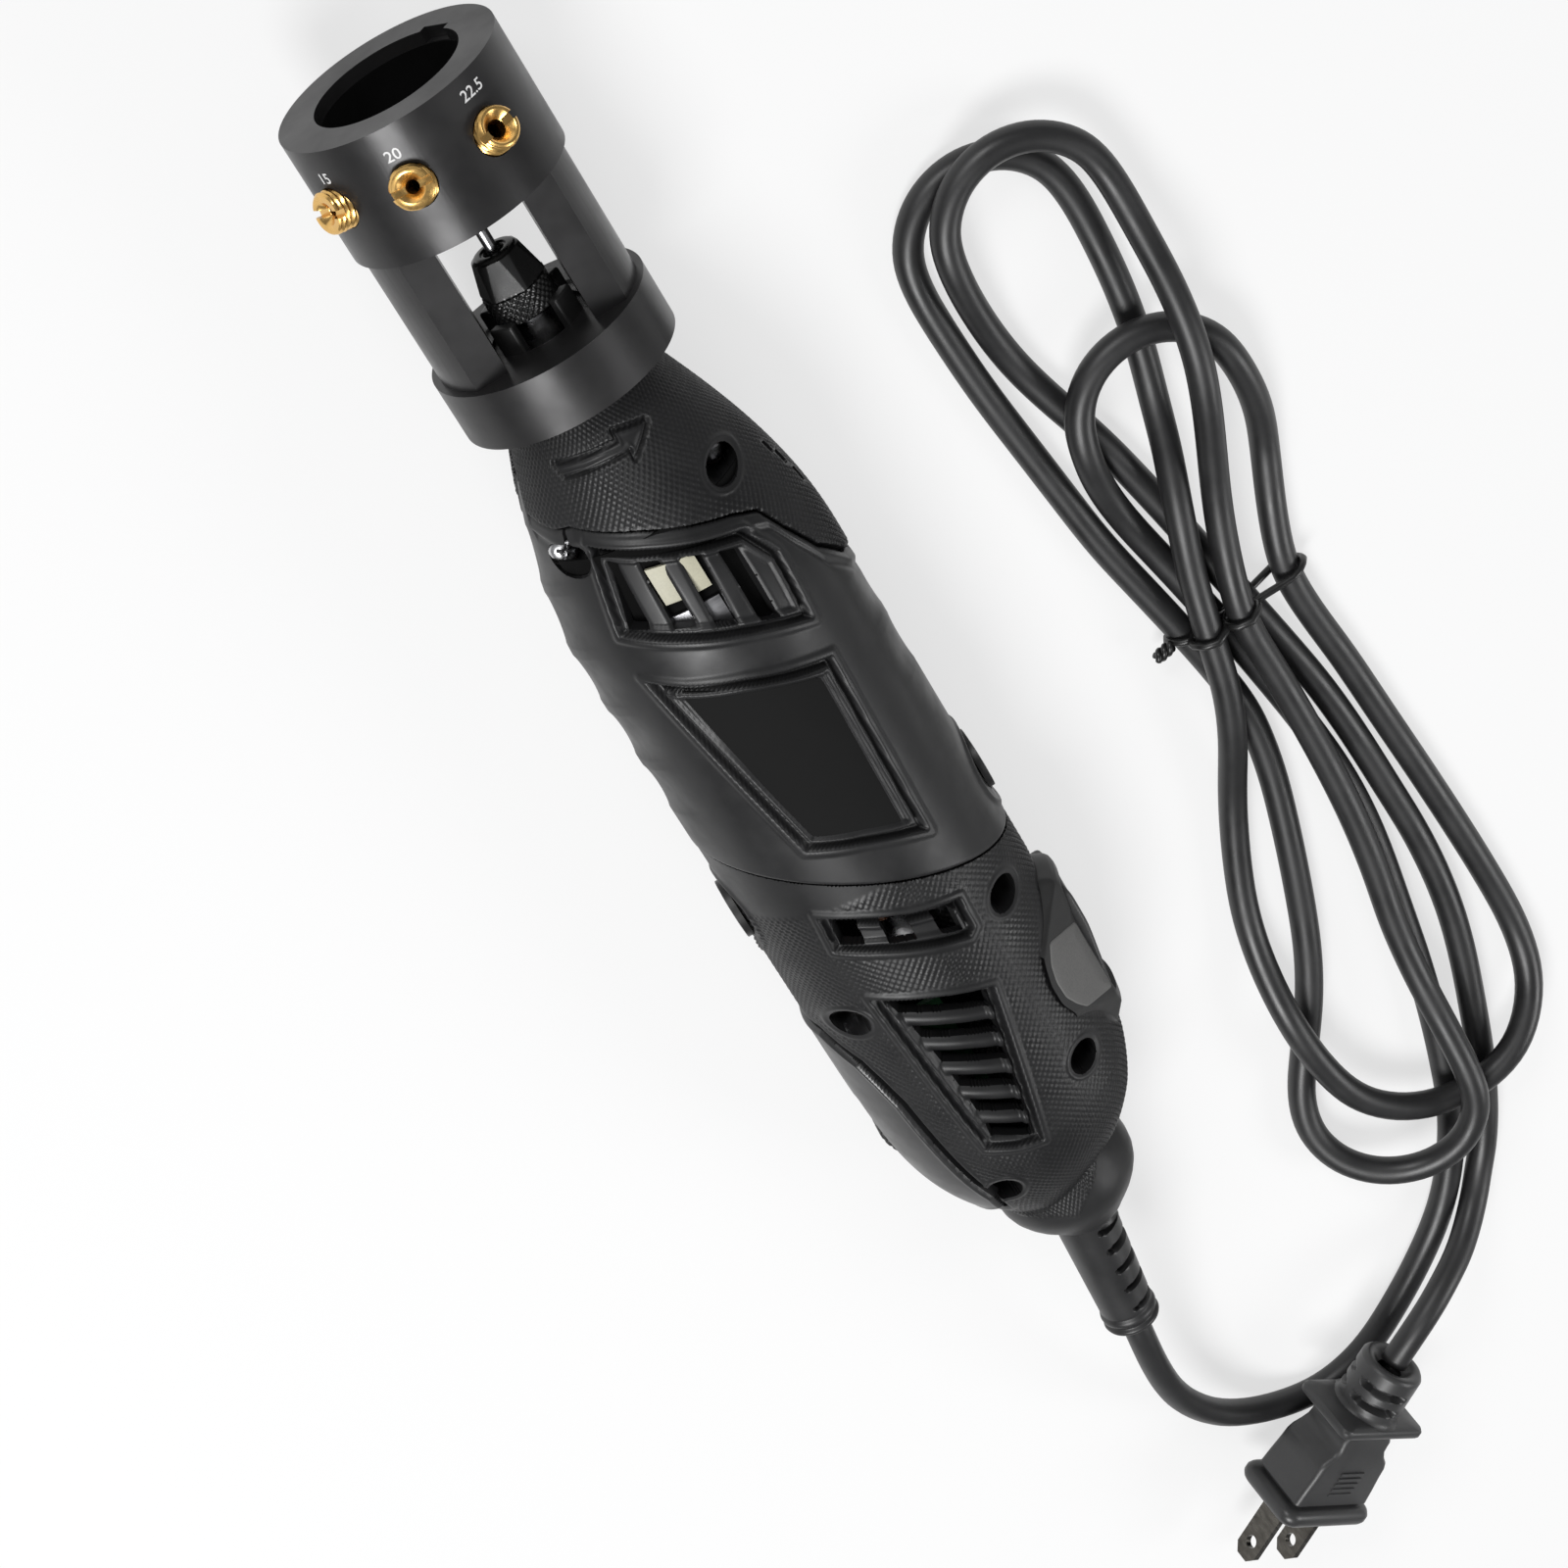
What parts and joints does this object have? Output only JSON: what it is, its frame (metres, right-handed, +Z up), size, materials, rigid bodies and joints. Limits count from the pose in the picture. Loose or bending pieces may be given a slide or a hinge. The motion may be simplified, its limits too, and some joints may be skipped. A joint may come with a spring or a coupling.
{
  "type": "corded rotary tool with sharpening head",
  "caption": "Handheld corded rotary tool with an electrode sharpening head screwed on its nose, a rocker switch in a raised bezel, a speed dial, and a tied mains cord with a two-blade plug.",
  "frame": {"origin": "bottom centre of the tool without its cord, on the surface that it lies on", "axes": "+X along the tool axis to the head's open end, +Z up through the label side, +Y to the dial side"},
  "size_m": [0.407, 0.1416, 0.0537],
  "materials": {
    "black_anodised": "satin anodised",
    "brass": "bright turned",
    "diamond_grit": "grit coated",
    "bright_steel": "turned",
    "black_steel": "blackened, knurled",
    "black_nylon": "moulded",
    "core_steel": "laminated",
    "copper": "enamelled copper",
    "carbon": "pressed carbon",
    "grip_plastic": "fine moulded knurl",
    "smooth_plastic": "satin moulded",
    "badge_black": "plain label",
    "board": "circuit board",
    "cord_rubber": "satin sheath",
    "tie_plastic": "coated wire",
    "blade_metal": "plated"
  },
  "bodies": {
    "tool": {"head_sleeve": "black_anodised", "head_web_left": "black_anodised", "head_web_right": "black_anodised", "head_disc": "black_anodised", "guide_left": "brass", "guide_middle": "brass", "guide_right": "brass", "nose_collar": "black_nylon", "front_bearing": "bright_steel", "rear_bearing": "bright_steel", "stator_core": "core_steel", "field_coils": "copper", "brush_holder_left": "brass", "brush_holder_right": "brass", "brush_left": "carbon", "brush_right": "carbon", "brush_spring_left": "bright_steel", "brush_spring_right": "bright_steel", "brush_cap_left": "black_nylon", "brush_cap_right": "black_nylon", "nose_shell_upper": "grip_plastic", "nose_shell_lower": "grip_plastic", "body_shell_upper": "smooth_plastic", "body_shell_lower": "smooth_plastic", "rear_shell_upper": "grip_plastic", "rear_shell_lower": "grip_plastic", "badge_plate": "badge_black", "housing_screws": "bright_steel", "switch_bezel": "smooth_plastic", "switch_body": "black_nylon", "dial_board": "board", "control_plate": "smooth_plastic", "tail_collar": "smooth_plastic", "strain_relief": "cord_rubber", "cord_lead": "cord_rubber", "cord_hank": "cord_rubber", "cord_end": "cord_rubber", "twist_tie": "tie_plastic", "plug_body": "cord_rubber", "plug_blades": "blade_metal"},
    "rotor": {"spindle": "bright_steel", "collet": "bright_steel", "collet_nut": "black_steel", "mandrel": "bright_steel", "mandrel_screw": "bright_steel", "grinding_wheel": "diamond_grit", "armature_core": "core_steel", "armature_winding": "copper", "commutator": "copper", "cooling_fan": "black_nylon"},
    "rocker": {"switch_rocker": "smooth_plastic"},
    "dial": {"speed_dial": "smooth_plastic"}
  },
  "joints": [
    {"name": "spindle_spin", "type": "hinge", "parent": "tool", "child": "rotor", "pos_m": [0.05, 0, 0.0267], "axis": [1, 0, 0], "continuous": true},
    {"name": "switch_rock", "type": "hinge", "parent": "tool", "child": "rocker", "pos_m": [-0.064, -0.022, 0.0267], "axis": [0, 0, 1], "range_deg": [0, 9]},
    {"name": "dial_turn", "type": "hinge", "parent": "tool", "child": "dial", "pos_m": [-0.083, 0.0165, 0.0267], "axis": [0, 0, 1], "range_deg": [0, 270]}
  ]
}
